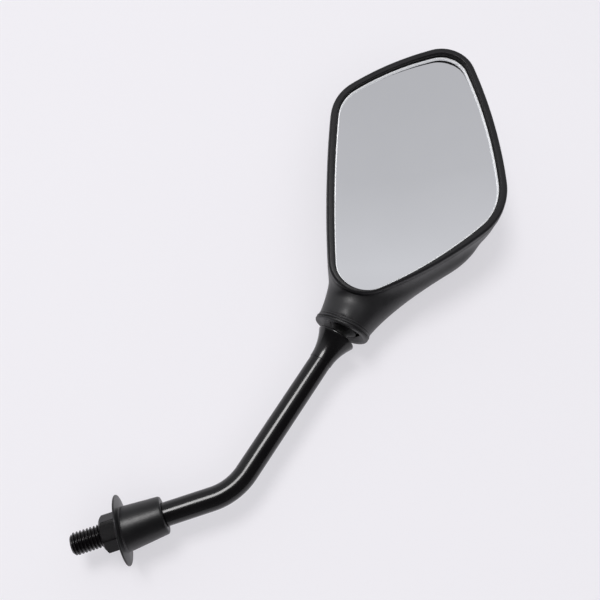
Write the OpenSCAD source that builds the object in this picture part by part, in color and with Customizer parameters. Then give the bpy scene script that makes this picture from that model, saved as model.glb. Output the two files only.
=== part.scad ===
// Motorcycle mirror on a bent stem, left-hand side, glass facing -Y.
// Origin: centre of the lock nut's bearing face, +Z up along the threaded stud.

/* [Stud and stem] */
// Outside diameter of the threaded stud
stud_d = 10; // [8:0.1:12]
// Free thread below the lock nut's bearing face
stud_len = 13.5; // [8:0.5:30]
// Diameter of the stud under the nut, where the thread is relieved
relief_d = 9.6; // [7.4:0.1:9.8]
// Height of the thread's upper end above the bearing face
thread_top = 9.5; // [9:0.1:10]
// Chamfer at the stud's tip
tip_chamfer = 1.2; // [0.5:0.1:2]
// Diameter of the stem's round bar
rod_d = 10.6; // [9:0.1:11]
// Height of the corner where the two straight stretches would meet
corner_h = 59; // [56:1:90]
// Angle of the stem's bend
bend_angle = 39; // [20:1:60]
// Centreline radius of the bend
bend_r = 28; // [20:1:32]
// Distance from the corner to the foot of the swivel bell
bell_foot = 71; // [40:1:110]
// Depth of the tapped hole in the upper end of the bar
rod_hole_depth = 13; // [8:0.5:20]

/* [Lock nut] */
// Width of the nut across its flats
nut_af = 14.5; // [14:0.5:16]
// Height of the nut
nut_h = 8; // [5:0.5:8.5]
// How much of the nut's corners is turned off
nut_corner_cut = 0.1; // [0:0.1:0.5]
// Angle of the nut's end chamfers
nut_chamfer_angle = 30; // [15:1:35]

/* [Rubber boot] */
// Diameter of the boot's flange
flange_d = 31; // [26:0.5:40]
// Thickness of the flange
flange_t = 1.2; // [0.8:0.1:2]
// Angle at which the flange hangs out of square
flange_skew = 3; // [0:0.5:9]
// Diameter of the boot's sleeve at the flange
sleeve_low_d = 20.6; // [20.4:0.1:24]
// Diameter of the sleeve at its upper end
sleeve_top_d = 16.4; // [15:0.1:19]
// Height of the boot
boot_h = 19.3; // [14:0.1:22]
// Depth of the recess that covers the nut
recess_depth = 5.5; // [4:0.1:7]
// Rounding of the sleeve's upper edge
sleeve_round = 1; // [0.4:0.1:1.5]
// Fillet between the flange and the sleeve
flange_fillet = 1.8; // [0.5:0.1:2.5]

/* [Swivel joint] */
// Diameter of the ball
ball_d = 12; // [11:0.1:12.4]
// Diameter of the ball's neck and shank
shank_d = 6; // [5:0.1:6.2]
// Wall of the nylon seats around the ball
seat_t = 0.94; // [0.8:0.02:1.1]
// Lean of the housing's neck against the stem, as photographed
neck_lean = 8; // [0:0.5:10]
// Distance from the ball's centre down to the neck's mouth
mouth_drop = 9; // [8.5:0.1:9.5]
// Gap between the neck's mouth and the bell's rim when the head is square
rim_gap = 4.3; // [4.1:0.1:6]
// Diameter of the bell's rim
bell_rim_d = 18.6; // [16:0.1:18.8]
// Height of the bell
bell_h = 14.1; // [12:0.1:20]
// Step of the bell's foot outside the bar
bell_step = 0.25; // [0.1:0.05:0.5]
// Depth of the cup in the bell's upper end
cup_depth = 2.6; // [2:0.1:3.5]
// Diameter of the shoulder on the ball's shank
shoulder_d = 9.6; // [8:0.1:10.4]
// Height of that shoulder
shoulder_h = 1.5; // [1:0.1:1.8]
// Width across the flats of the driver socket in the ball
socket_af = 4; // [3:0.5:4]
// Depth of the driver socket
socket_depth = 3.5; // [2:0.5:4]

/* [Head outline] */
// Lowest corner arc: sideways place, height and radius
bottom_x = -2.9; // [-5:0.1:0]
bottom_z = 22.6; // [20:0.1:25]
bottom_r = 18.4; // [15:0.1:22]
// Lowest corner arc of the rim's outer edge, which is drawn closer to the glass there
rim_x = -4; // [-5:0.1:-2]
rim_z = 22; // [21:0.1:23.5]
rim_r = 16.8; // [16.4:0.1:18.4]
// Right corner arc: sideways place, height and radius
right_x = 12.8; // [10:0.1:16]
right_z = 74.9; // [70:0.1:80]
right_r = 33.4; // [28:0.1:38]
// Top corner arc: sideways place, height and radius
top_x = -8.1; // [-12:0.1:-4]
top_z = 135; // [125:0.1:145]
top_r = 16.8; // [14:0.1:20]
// Left corner arc: sideways place, height and radius
left_x = -27.1; // [-30:0.1:-24]
left_z = 97.5; // [92:0.1:102]
left_r = 25.5; // [22:0.1:29]
// Radius of the long curved side from the bottom to the right corner
side_low_r = 212; // [150:1:600]
// Radius of the side from the right corner to the top
side_right_r = 267; // [150:1:600]
// Radius of the side from the top to the left corner
side_top_r = 157; // [120:1:600]
// Radius of the side from the left corner to the bottom
side_left_r = 650; // [300:10:900]

/* [Housing] */
// Distance from the neck's axis to the bezel's front
face_y = 16.5; // [16.5:0.1:19]
// Distance from the neck's axis to the back of the housing
back_y = 18.5; // [16:0.5:22]
// Wall of the housing
wall = 2.2; // [1.8:0.1:2.6]
// Squareness of the housing's side profile
dome_power = 3.6; // [2.8:0.1:4]
// Diameter of the neck at its mouth
neck_d = 25.6; // [25.4:0.1:28]
// Diameter of the hole in the mouth
mouth_d = 15; // [15:0.1:17]
// How far the mouth's outside is set to the left of the neck's axis
mouth_shift = 1.3; // [0:0.1:1.5]
// Height of the rounded lip round the mouth
lip_h = 2.4; // [1.5:0.1:3]
// How far that lip stands out
lip_out = 0.7; // [0.3:0.1:0.9]
// Height up to which the neck spreads into the head
spread_top = 40; // [34:1:50]
// Extra half width of the neck on the right at that height
spread_right = 20.5; // [17:0.5:21.5]
// Extra half width of the neck on the left at that height
spread_left = 15; // [12:0.5:16.5]
// Height of the socket block above the ball's centre
block_top = 10.5; // [10.5:0.1:12]

/* [Bezel and gasket] */
// Width of the bezel's front
bezel_w = 3.4; // [3:0.1:4.5]
// Depth of the bezel's outer band
bezel_depth = 6.1; // [5.8:0.1:6.6]
// Rounding of the bezel's front edges
bezel_round = 1.3; // [0.5:0.1:1.6]
// Length of the skirt that plugs into the housing
skirt_len = 2.2; // [1.4:0.1:2.3]
// Thickness of that skirt
skirt_t = 0.9; // [0.7:0.1:1]
// Width of the rubber gasket
gasket_w = 0.9; // [0.6:0.1:1.5]
// Drop from the bezel's front to the gasket
gasket_drop = 1.3; // [0.8:0.1:2]

/* [Glass and carrier] */
// Radius of the convex glass
glass_r = 1000; // [800:50:1400]
// Drop from the bezel's front to the middle of the glass
glass_drop = 0.6; // [0.3:0.1:1.2]
// Thickness of the glass
glass_t = 2.2; // [1.8:0.1:2.4]
// Thickness of the adhesive foam
foam_t = 1; // [0.6:0.1:1.1]
// Margin of the foam inside the glass
foam_margin = 3; // [2:0.5:6]
// Thickness of the carrier
carrier_t = 1.8; // [1.4:0.1:2]
// Margin of the carrier inside the glass
carrier_margin = 1.4; // [1.4:0.1:2.5]
// Diameter of the bosses that the carrier is screwed to
boss_d = 7.5; // [7:0.1:9]

/* [Clamp] */
// Thickness of the pressure plate
plate_t = 2; // [1.2:0.1:2.5]
// Distance of each clamp screw from the neck's axis
clamp_x = 10.6; // [10.2:0.1:10.8]
// Diameter of the screws' threads
screw_d = 3; // [2.5:0.1:3]
// Diameter of the screws' heads
screw_head_d = 5.6; // [5:0.1:5.8]
// Length of the screws' threads
screw_len = 9; // [6:0.5:9]
// Thickness of one disc spring
spring_t = 0.6; // [0.4:0.05:0.65]

/* [Hidden] */

// Clearances: running fits, loose fits, seated faces and the play of moulded parts
run = 0.05;
loose = 0.3;
seated = 0.03;
play = 0.1;
// Overlap that lets a cut pass right through a face
eps = 0.5;

// Facets of round parts and points on the head's corner and side arcs
round_fn = 64;
sphere_fn = 96;
glass_fn = 720;
corner_points = 9;
side_points = 7;
neck_points = 32;
neck_steps = 8;

// The bar thins a little in its bend, and the bend laps into the straight stretches
bend_thinning = 0.1;
bend_lap_angle = 2;

// Heights along the upper stem, measured from the corner of the bend
bend_run = bend_r * tan(bend_angle / 2);
rim_at = bell_foot + bell_h;
ball_at = rim_at + rim_gap + mouth_drop;
bell_rim_z = rim_at - ball_at;
foot_z = bell_foot - ball_at;
cup_floor_z = bell_rim_z - cup_depth;

// Boot and nut
boot_z = nut_h + loose;
nut_corner_r = nut_af / 2 / cos(30) - nut_corner_cut;
recess_r = nut_corner_r + loose;

// Spherical surfaces around the ball's centre
ball_r = ball_d / 2;
seat_in_r = ball_r + run;
seat_out_r = seat_in_r + seat_t;
socket_r = seat_out_r + play;
web_t = 2.3;
web_r = socket_r + web_t;
seal_gap = 0.15;
seal_t = 0.9;
seal_in_r = web_r + seal_gap;
seal_out_r = seal_in_r + seal_t;
web_hole_angle = 45;
seal_angle = 44;
seat_mouth_angle = 50;
seat_low_cut = 0.25;
seat_up_cut = 2.9;
tool_hole_r = 2.6;
slot_r = seal_out_r + seal_gap;
slot_top_z = -3.8;
hub_t = 0.8;
shank_gap = 1;

// Wall of the bell at its rim, and points along its flare
bell_lip = 1;
bell_steps = 8;

// Disc springs stacked under the pressure plate
spring_cone = 0.3;
spring_r = socket_r - 2 * loose;
spring_hole_r = shank_d / 2 + loose;
spring_pitch = spring_t + spring_cone + seated;
spring_count = 3;
seat_top_z = block_top - spring_count * spring_pitch - seated;

// Screws
screw_r = screw_d / 2;
screw_hole_r = screw_r + run;
head_r = screw_head_d / 2;
head_h = 1.9;
sink = 0.4;
drive_r = 1.4;
drive_depth = 1.2;
screw_tip_gap = 1;

// Places across the head's depth, from the bezel's front inwards
front_y = -face_y;
rim_y = front_y + bezel_depth;
shell_inset = 0.15;
skirt_inset = shell_inset + wall + play;
ledge_rise = 0.7;
gasket_inset = bezel_w + seated;
glass_inset = gasket_inset + gasket_w + seated;
ledge_y = rim_y - ledge_rise;
glass_y = front_y + glass_drop;
glass_x0 = (left_x + right_x) / 2;
glass_z0 = (bottom_z + top_z) / 2;
foam_y = glass_y + glass_t + seated;
carrier_y = foam_y + foam_t + seated;
pad_h = 2.9;
pad_y = carrier_y + carrier_t + pad_h;
recess_back_y = pad_y + play;
boss_screw_len = 8;

// How the neck flares, levels off above its full height, squares up and ends inside the head
flare_power = 1.7;
level_rate = 1.3;
level_drop = 1.6;
neck_round = 2;
neck_squaring = 0.5;
rear_set = 2;
neck_extra_steps = 3;
neck_end_share = 0.8;

// Angles of the loops up the domed body
dome_angles = [0, 12, 24, 36, 48, 59, 69, 78, 85];

// Corner arcs in order round the outline, and the side arcs that follow them
corners = [[bottom_x, bottom_z, bottom_r], [right_x, right_z, right_r],
    [top_x, top_z, top_r], [left_x, left_z, left_r]];
rim_corners = [[rim_x, rim_z, rim_r], corners[1], corners[2], corners[3]];
sides = [side_low_r, side_right_r, side_top_r, side_left_r];
bosses = [for (c = corners) [c[0], c[1]]];
corner_count = len(corners);

// Centre of a side arc that touches two corner arcs from outside
function side_centre(a, b, r) =
    let (d = [b[0] - a[0], b[1] - a[1]],
        span = norm(d),
        e = d / span,
        p = r - a[2],
        q = r - b[2],
        t = (p * p - q * q + span * span) / (2 * span),
        h = sqrt(p * p - t * t))
    [a[0] + e[0] * t - e[1] * h, a[1] + e[1] * t + e[0] * h];

function centres(cs) = [for (k = [0:corner_count - 1])
    side_centre(cs[k], cs[(k + 1) % corner_count], sides[k])];

// Direction from one point to another, in degrees
function heading(from, to) = atan2(to[1] - from[1], to[0] - from[0]);

// Angle turned counter-clockwise from one heading to another
function turned(a, b) = b - a - 360 * floor((b - a) / 360);

// Points of an arc from heading a over span w, with the ends kept or left out
function arc(c, r, a, w, n, ends) =
    [for (i = [ends ? 0 : 1 : ends ? n - 1 : n - 2])
        [c[0] + r * cos(a + w * i / (n - 1)), c[1] + r * sin(a + w * i / (n - 1))]];

// An outline through corner arcs, moved inwards, counter-clockwise seen from the glass side
function outline(margin, cs = corners) =
    let (mids = centres(cs))
    [for (k = [0:corner_count - 1])
        let (c = cs[k],
            next = cs[(k + 1) % corner_count],
            before = mids[(k + corner_count - 1) % corner_count],
            after = mids[k],
            a = heading(before, c),
            b = heading(after, c),
            e = heading(after, next))
        each concat(
            arc(c, c[2] - margin, a, turned(a, b), corner_points, true),
            arc(after, sides[k] - margin, b, turned(b, e), side_points, false))];

// An outline placed at a depth, as a closed loop in space
function loop(margin, y, cs = corners) = [for (p = outline(margin, cs)) [p[0], y, p[1]]];

// The same for the rim's outer edge
function rim_loop(margin, y) = loop(margin, y, rim_corners);

// A solid through loops of equally many points: capped at both ends, or closed into a ring
module skin(loops, ring = false) {
    n = len(loops[0]);
    m = len(loops);
    last = ring ? m - 1 : m - 2;
    walls = [for (j = [0:last], i = [0:n - 1])
        let (a = j * n + i,
            b = j * n + (i + 1) % n,
            c = ((j + 1) % m) * n + (i + 1) % n,
            d = ((j + 1) % m) * n + i)
        each [[a, b, c], [a, c, d]]];
    caps = ring ? [] : [[for (i = [n - 1:-1:0]) i], [for (i = [0:n - 1]) (m - 1) * n + i]];
    polyhedron(points = [for (l = loops) each l], faces = concat(walls, caps), convexity = 6);
}

// Places its children along the upper stem, from the corner of the bend
module upper_stem() {
    translate([0, 0, corner_h]) rotate([0, -bend_angle, 0]) children();
}

// Places its children about the ball's centre, square to the stem
module ball_frame() {
    upper_stem() translate([0, 0, ball_at]) children();
}

// Places its children about the ball's centre, square to the housing's neck
module head_frame() {
    ball_frame() rotate([0, -neck_lean, 0]) children();
}

// A bar along Y from y0 to y1
module bar_y(x, z, r, y0, y1) {
    translate([x, y0, z]) rotate([-90, 0, 0]) cylinder(r = r, h = y1 - y0, $fn = round_fn);
}

// A cone along Z that opens downwards from the ball's centre
module cone_down(angle, h) {
    translate([0, 0, -h]) cylinder(r1 = h * tan(angle), r2 = 0, h = h, $fn = round_fn);
}

// Everything inside an outline with a margin, between two depths
module slab(margin, y0, y1, cs = corners) {
    translate([0, y1, 0]) rotate([90, 0, 0])
        linear_extrude(y1 - y0) polygon(outline(margin, cs));
}

// The round bar with its bend, its relieved stretch and the threaded stud
module stem_rod() {
    color([0.07, 0.07, 0.08]) {
        rotate_extrude($fn = round_fn)
            polygon([[0, -stud_len], [stud_d / 2 - tip_chamfer, -stud_len],
                [stud_d / 2, tip_chamfer - stud_len], [stud_d / 2, 0], [relief_d / 2, 0],
                [relief_d / 2, thread_top], [0, thread_top]]);
        translate([0, 0, thread_top])
            cylinder(d = rod_d, h = corner_h - bend_run - thread_top, $fn = round_fn);
        translate([-bend_r, 0, corner_h - bend_run]) rotate([90, 0, 0])
            rotate([0, 0, -bend_lap_angle])
                rotate_extrude(angle = bend_angle + 2 * bend_lap_angle, $fn = round_fn)
                    translate([bend_r, 0]) circle(d = rod_d - bend_thinning, $fn = round_fn);
        upper_stem() difference() {
            translate([0, 0, bend_run])
                cylinder(d = rod_d, h = bell_foot - bend_run, $fn = round_fn);
            translate([0, 0, bell_foot - rod_hole_depth])
                cylinder(d = shank_d + 2 * run, h = rod_hole_depth + eps, $fn = round_fn);
        }
    }
}

// Hexagon nut with both ends chamfered
module lock_nut() {
    face_r = nut_af / 2;
    drop = (nut_corner_r - face_r) * tan(nut_chamfer_angle);
    color([0.09, 0.09, 0.1]) difference() {
        intersection() {
            cylinder(r = face_r / cos(30), h = nut_h, $fn = 6);
            rotate_extrude($fn = round_fn)
                polygon([[0, 0], [face_r, 0], [nut_corner_r, drop],
                    [nut_corner_r, nut_h - drop], [face_r, nut_h], [0, nut_h]]);
        }
        translate([0, 0, -eps])
            cylinder(r = stud_d / 2 + run, h = nut_h + 2 * eps, $fn = round_fn);
    }
}

// Tapered sleeve with a flange that hangs out of square, hollowed to go over the nut
module stem_boot() {
    low_r = sleeve_low_d / 2;
    top_r = sleeve_top_d / 2;
    flange_r = flange_d / 2;
    color([0.08, 0.08, 0.09]) translate([0, 0, boot_z]) difference() {
        union() {
            rotate_extrude($fn = round_fn)
                polygon([[0, 0], [low_r, 0], [top_r, boot_h - sleeve_round],
                    for (a = [30, 60, 90])
                        [top_r - sleeve_round * (1 - cos(a)),
                            boot_h - sleeve_round * (1 - sin(a))],
                    [0, boot_h]]);
            rotate([0, flange_skew, 0]) rotate_extrude($fn = round_fn)
                polygon([[0, 0], [flange_r - flange_t / 2, 0], [flange_r, flange_t / 2],
                    [flange_r - flange_t / 2, flange_t], [low_r + flange_fillet, flange_t],
                    [low_r, flange_t + flange_fillet], [0, flange_t + flange_fillet]]);
        }
        cylinder(r = recess_r, h = recess_depth, $fn = round_fn);
        translate([0, 0, -flange_r]) cylinder(r = recess_r, h = flange_r, $fn = round_fn);
        cylinder(d = rod_d + 2 * run, h = boot_h + eps, $fn = round_fn);
    }
}

// Flared bell on the end of the bar, with a cup for the seal
module swivel_bell() {
    foot_r = rod_d / 2 + bell_step;
    rim_r = bell_rim_d / 2;
    color([0.06, 0.06, 0.07]) ball_frame() translate([0, 0, foot_z]) difference() {
        rotate_extrude($fn = round_fn)
            polygon([[0, 0], for (i = [0:bell_steps]) let (t = i / bell_steps)
                [foot_r + (rim_r - foot_r) * t * t, (bell_h - bell_lip) * t],
                [rim_r, bell_h - bell_lip / 2], [rim_r - bell_lip / 2, bell_h], [0, bell_h]]);
        translate([0, 0, bell_h - cup_depth])
            cylinder(r1 = shoulder_d / 2 + loose, r2 = rim_r - bell_lip, h = cup_depth,
                $fn = round_fn);
        translate([0, 0, bell_h - eps])
            cylinder(r = rim_r - bell_lip, h = 2 * eps, $fn = round_fn);
        translate([0, 0, -eps])
            cylinder(d = shank_d + 2 * run, h = bell_h + eps, $fn = round_fn);
    }
}

// Ball with its neck, the shoulder that clamps the bell, and the shank in the bar
module ball_stud() {
    shank_len = cup_floor_z - foot_z + rod_hole_depth - shank_gap;
    color([0.62, 0.63, 0.65]) ball_frame() difference() {
        union() {
            sphere(r = ball_r, $fn = sphere_fn);
            translate([0, 0, cup_floor_z]) cylinder(d = shank_d, h = -cup_floor_z, $fn = round_fn);
            translate([0, 0, cup_floor_z + seated])
                cylinder(d = shoulder_d, h = shoulder_h, $fn = round_fn);
            translate([0, 0, cup_floor_z - shank_len])
                cylinder(d = shank_d, h = shank_len, $fn = round_fn);
        }
        translate([0, 0, ball_r - socket_depth])
            cylinder(r = socket_af / 2 / cos(30), h = socket_depth + eps, $fn = 6);
    }
}

// Rubber dome that wipes the socket, on a hub that turns on the ball's neck
module dust_seal() {
    hub_z = cup_floor_z + seated + shoulder_h + seated;
    hub_r = shank_d / 2 + run + hub_t;
    color([0.05, 0.05, 0.05]) ball_frame() difference() {
        union() {
            intersection() {
                sphere(r = seal_out_r, $fn = sphere_fn);
                cone_down(seal_angle, seal_out_r + eps);
            }
            translate([0, 0, hub_z]) cylinder(r = hub_r, h = -seal_in_r - hub_z, $fn = round_fn);
        }
        sphere(r = seal_in_r, $fn = sphere_fn);
        translate([0, 0, foot_z])
            cylinder(d = shank_d + 2 * run, h = -foot_z, $fn = round_fn);
    }
}

// Nylon cup between the ball and the neck's spherical seat
module ball_seat_lower() {
    color([0.85, 0.84, 0.78]) ball_frame() difference() {
        sphere(r = seat_out_r, $fn = sphere_fn);
        sphere(r = seat_in_r, $fn = sphere_fn);
        translate([0, 0, -seat_low_cut])
            cylinder(r = socket_r + eps, h = socket_r + eps, $fn = round_fn);
        cone_down(seat_mouth_angle, socket_r + eps);
    }
}

// Nylon pad that the springs press on the ball
module ball_seat_upper() {
    color([0.85, 0.84, 0.78]) head_frame() difference() {
        translate([0, 0, seat_up_cut])
            cylinder(r = seat_out_r, h = seat_top_z - seat_up_cut, $fn = round_fn);
        sphere(r = seat_in_r, $fn = sphere_fn);
        cylinder(r = tool_hole_r, h = seat_top_z + eps, $fn = round_fn);
    }
}

// One disc spring of the stack; every second one is turned over
module disc_spring(i) {
    profile = [[spring_hole_r, 0], [spring_r, spring_cone],
        [spring_r, spring_cone + spring_t], [spring_hole_r, spring_t]];
    over = i % 2;
    color([0.55, 0.56, 0.58]) head_frame()
        translate([0, 0, seat_top_z + seated + (i - 1) * spring_pitch])
            translate([0, 0, over * (spring_t + spring_cone)]) mirror([0, 0, over])
                rotate_extrude($fn = round_fn) polygon(profile);
}

// Steel plate that closes the socket over the springs
module pressure_plate() {
    ear_r = head_r + loose;
    color([0.66, 0.67, 0.69]) head_frame() translate([0, 0, block_top + seated])
        linear_extrude(plate_t) difference() {
            union() {
                circle(r = socket_r + loose, $fn = round_fn);
                square([2 * clamp_x, 2 * ear_r], center = true);
                for (side = [-1, 1]) translate([side * clamp_x, 0])
                    circle(r = ear_r, $fn = round_fn);
            }
            circle(r = tool_hole_r, $fn = round_fn);
            for (side = [-1, 1]) translate([side * clamp_x, 0])
                circle(r = screw_hole_r, $fn = round_fn);
        }
}

// Pan-head screw along Z, its head resting on z = 0
module pan_screw(length) {
    difference() {
        union() {
            cylinder(r = head_r, h = head_h, $fn = round_fn);
            translate([0, 0, -length]) cylinder(r = screw_r, h = length, $fn = round_fn);
        }
        translate([0, 0, head_h - drive_depth])
            cylinder(r = drive_r, h = drive_depth + eps, $fn = 6);
    }
}

// The two screws that hold the pressure plate
module clamp_screws() {
    color([0.72, 0.73, 0.75]) head_frame()
        for (side = [-1, 1])
            translate([side * clamp_x, 0, block_top + plate_t + 2 * seated])
                pan_screw(screw_len);
}

// One loop of the domed body: the outline drawn towards a point behind the glass
function dome_loop(margin, y0, depth, a) =
    let (f = 1 - pow(cos(a), 2 / dome_power),
        y = y0 + depth * pow(sin(a), 2 / dome_power))
    [for (p = outline(margin, rim_corners))
        [p[0] + (glass_x0 - p[0]) * f, y, p[1] + (glass_z0 - p[1]) * f]];

// Domed body behind the bezel, made smaller by a margin on every side
module dome(margin, y0) {
    depth = back_y - margin + shell_inset - y0;
    skin([for (a = dome_angles) dome_loop(margin, y0, depth, a)]);
}

// Share of the way from the neck's mouth up to where it is full
function rise_share(z) = (z + mouth_drop) / (spread_top + mouth_drop);

// What the neck gains in half width at a height; past its full height it levels off
function spread(z, extra) =
    let (u = rise_share(z),
        t = max(u - 1, 0))
    extra * (pow(min(u, 1), flare_power) + level_rate * t - level_drop * t * t);

// Cross-section of the neck at a height, a circle that grows into an oblong
function neck_loop(z, margin, shrink) =
    let (u = min(rise_share(z), 1),
        power = neck_round + neck_squaring * u,
        r = neck_d / 2,
        aside = mouth_shift * (1 - u) * (1 - u),
        right = (r - aside + spread(z, spread_right)) * shrink - margin,
        left = (r + aside + spread(z, spread_left)) * shrink - margin,
        rear = (r + (back_y - rear_set - r) * u) * shrink - margin,
        front = r * shrink - margin)
    [for (i = [0:neck_points - 1])
        let (a = -360 * i / neck_points,
            x = sign(cos(a)) * pow(abs(cos(a)), 2 / power),
            y = sign(sin(a)) * pow(abs(sin(a)), 2 / power))
        [x * (x > 0 ? right : left), y * (y > 0 ? rear : front), z]];

// Neck that spreads from the mouth into the head, made smaller by a margin
module neck(margin, from) {
    rise = (spread_top - from) / neck_steps;
    last = neck_steps + neck_extra_steps;
    skin([for (i = [0:last]) neck_loop(from + i * rise, margin, i < last ? 1 : neck_end_share)]);
}

// Rounded lip round the neck's mouth
module mouth_lip() {
    edge = lip_h / 4;
    skin([neck_loop(-mouth_drop, edge - lip_out, 1), neck_loop(edge - mouth_drop, -lip_out, 1),
        neck_loop(lip_h - edge - mouth_drop, -lip_out, 1),
        neck_loop(lip_h - mouth_drop, edge, 1)]);
}

// Everything that lies inside the walls of the housing, above the socket block
module hollow() {
    intersection() {
        union() {
            dome(shell_inset + wall, rim_y - eps);
            neck(wall, block_top - eps);
        }
        translate([-2 * top_z, -2 * back_y, block_top]) cube([4 * top_z, 4 * back_y, 2 * top_z]);
    }
}

// Bored socket block in the neck: spherical seat, web, slot for the seal, mouth and screw holes
module socket_bores() {
    sphere(r = socket_r, $fn = sphere_fn);
    cylinder(r = socket_r, h = block_top + eps, $fn = round_fn);
    intersection() {
        cone_down(web_hole_angle, web_r + eps);
        sphere(r = seal_in_r, $fn = sphere_fn);
    }
    difference() {
        union() {
            translate([0, 0, -mouth_drop - eps])
                cylinder(d = mouth_d, h = mouth_drop, $fn = round_fn);
            intersection() {
                sphere(r = slot_r, $fn = sphere_fn);
                translate([0, 0, -mouth_drop])
                    cylinder(r = slot_r + eps, h = mouth_drop + slot_top_z, $fn = round_fn);
            }
        }
        sphere(r = web_r, $fn = sphere_fn);
    }
    bore_len = screw_len + screw_tip_gap;
    for (side = [-1, 1]) translate([side * clamp_x, 0, block_top - bore_len])
        cylinder(r = screw_hole_r, h = bore_len + eps, $fn = round_fn);
}

// Moulded housing: domed body, neck, socket block and the carrier's bosses
module housing_shell() {
    color([0.1, 0.1, 0.11]) head_frame() difference() {
        union() {
            difference() {
                union() {
                    dome(shell_inset, rim_y);
                    neck(0, -mouth_drop);
                    mouth_lip();
                }
                hollow();
            }
            intersection() {
                union() for (p = bosses) bar_y(p[0], p[1], boss_d / 2, recess_back_y, back_y);
                dome(shell_inset, rim_y);
            }
        }
        slab(-play, front_y - eps, rim_y, rim_corners);
        slab(shell_inset + wall, front_y - eps, recess_back_y, rim_corners);
        socket_bores();
        for (p = bosses)
            bar_y(p[0], p[1], screw_hole_r, recess_back_y - eps, recess_back_y + boss_screw_len);
    }
}

// Front ring with rounded edges and a skirt that plugs into the housing
module bezel_frame() {
    inner_round = bezel_round / 2;
    skirt_back = rim_y + skirt_len;
    color([0.09, 0.09, 0.1]) head_frame() skin([
        for (a = [0, 30, 60, 90])
            rim_loop(bezel_round * (1 - sin(a)), front_y + bezel_round * (1 - cos(a))),
        rim_loop(0, rim_y - seated),
        rim_loop(skirt_inset, rim_y - seated),
        rim_loop(skirt_inset, skirt_back),
        rim_loop(skirt_inset + skirt_t, skirt_back),
        rim_loop(skirt_inset + skirt_t, ledge_y),
        loop(bezel_w, ledge_y),
        for (a = [90, 45, 0])
            loop(bezel_w - inner_round * (1 - sin(a)), front_y + inner_round * (1 - cos(a)))
    ], ring = true);
}

// Rubber ring between the bezel and the edge of the glass
module edge_gasket() {
    color([0.04, 0.04, 0.04]) head_frame() skin([
        loop(gasket_inset, front_y + gasket_drop),
        loop(gasket_inset, ledge_y - seated),
        loop(gasket_inset + gasket_w, ledge_y - seated),
        loop(gasket_inset + gasket_w, front_y + gasket_drop)
    ], ring = true);
}

// Sheet that follows the curve of the glass, with its apex at a given depth
module dished(margin, y, t) {
    intersection() {
        slab(margin, y - eps, y + t + face_y);
        translate([glass_x0, y + glass_r, glass_z0]) difference() {
            sphere(r = glass_r, $fn = glass_fn);
            sphere(r = glass_r - t, $fn = glass_fn);
        }
    }
}

// How far the curved glass falls back at a point of its face
function sag(x, z) =
    glass_r - sqrt(glass_r * glass_r - pow(x - glass_x0, 2) - pow(z - glass_z0, 2));

// Depth at which a carrier screw's head is seated, below the sheet's back
function screw_seat(p) = carrier_y + sag(p[0], p[1]) + carrier_t + sink;

// Convex mirror glass
module mirror_glass() {
    color([0.72, 0.74, 0.75]) head_frame() dished(glass_inset, glass_y, glass_t);
}

// Adhesive foam between the glass and its carrier
module foam_pad() {
    color([0.2, 0.2, 0.2]) head_frame() dished(glass_inset + foam_margin, foam_y, foam_t);
}

// Carrier with four screw pads, screwed to the housing's bosses
module glass_carrier() {
    color([0.14, 0.14, 0.15]) head_frame() difference() {
        union() {
            dished(glass_inset + carrier_margin, carrier_y, carrier_t);
            for (p = bosses)
                bar_y(p[0], p[1], boss_d / 2,
                    carrier_y + sag(p[0], p[1]) + carrier_t / 2, pad_y);
        }
        for (p = bosses) {
            bar_y(p[0], p[1], screw_hole_r, carrier_y, pad_y + eps);
            bar_y(p[0], p[1], head_r + play, carrier_y - eps, screw_seat(p));
        }
    }
}

// Screws that hold the carrier, with their heads let into it under the foam
module carrier_screws() {
    color([0.72, 0.73, 0.75]) head_frame()
        for (p = bosses)
            translate([p[0], screw_seat(p) - seated, p[1]])
                rotate([90, 0, 0]) pan_screw(boss_screw_len);
}

stem_rod();
lock_nut();
stem_boot();
swivel_bell();
ball_stud();
dust_seal();
ball_seat_lower();
ball_seat_upper();
disc_spring(1);  // disc_spring_1
disc_spring(2);  // disc_spring_2
disc_spring(3);  // disc_spring_3
pressure_plate();
clamp_screws();
housing_shell();
bezel_frame();
edge_gasket();
mirror_glass();
foam_pad();
glass_carrier();
carrier_screws();
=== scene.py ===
"""Looks of a motorcycle mirror on a bent stem, lying glass up on a pale table."""
import math

import bmesh
import bpy
import numpy as np
from mathutils import Matrix, Vector

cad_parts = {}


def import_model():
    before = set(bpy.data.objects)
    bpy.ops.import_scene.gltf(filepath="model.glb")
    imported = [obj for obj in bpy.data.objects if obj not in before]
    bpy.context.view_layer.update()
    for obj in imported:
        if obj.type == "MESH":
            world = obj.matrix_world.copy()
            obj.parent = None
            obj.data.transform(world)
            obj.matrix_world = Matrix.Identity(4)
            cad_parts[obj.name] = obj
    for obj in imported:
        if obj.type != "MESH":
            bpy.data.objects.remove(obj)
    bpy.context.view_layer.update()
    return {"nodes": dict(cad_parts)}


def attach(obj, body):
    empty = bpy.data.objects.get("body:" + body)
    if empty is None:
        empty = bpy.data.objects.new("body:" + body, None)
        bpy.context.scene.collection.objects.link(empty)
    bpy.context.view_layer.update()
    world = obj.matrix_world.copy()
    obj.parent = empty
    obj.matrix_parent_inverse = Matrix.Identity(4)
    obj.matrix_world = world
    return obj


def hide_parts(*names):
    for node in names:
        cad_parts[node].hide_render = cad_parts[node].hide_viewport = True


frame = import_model()
MM = 0.001
NODES = frame["nodes"]

# Sizes repeated from the part's source, in millimetres
CORNER_H, BEND, BEND_R, BALL_AT = 59.0, 39.0, 28.0, 98.4
ROD_R, STUD_R, STUD_LEN, THREAD_TOP = 5.3, 5.0, 13.5, 9.5
BELL_FOOT = 71.0
NECK_LEAN, MOUTH_DROP = 8.0, 9.0
FRONT_Y, BACK_Y, RIM_Y = -16.5, 18.5, -10.4
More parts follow.
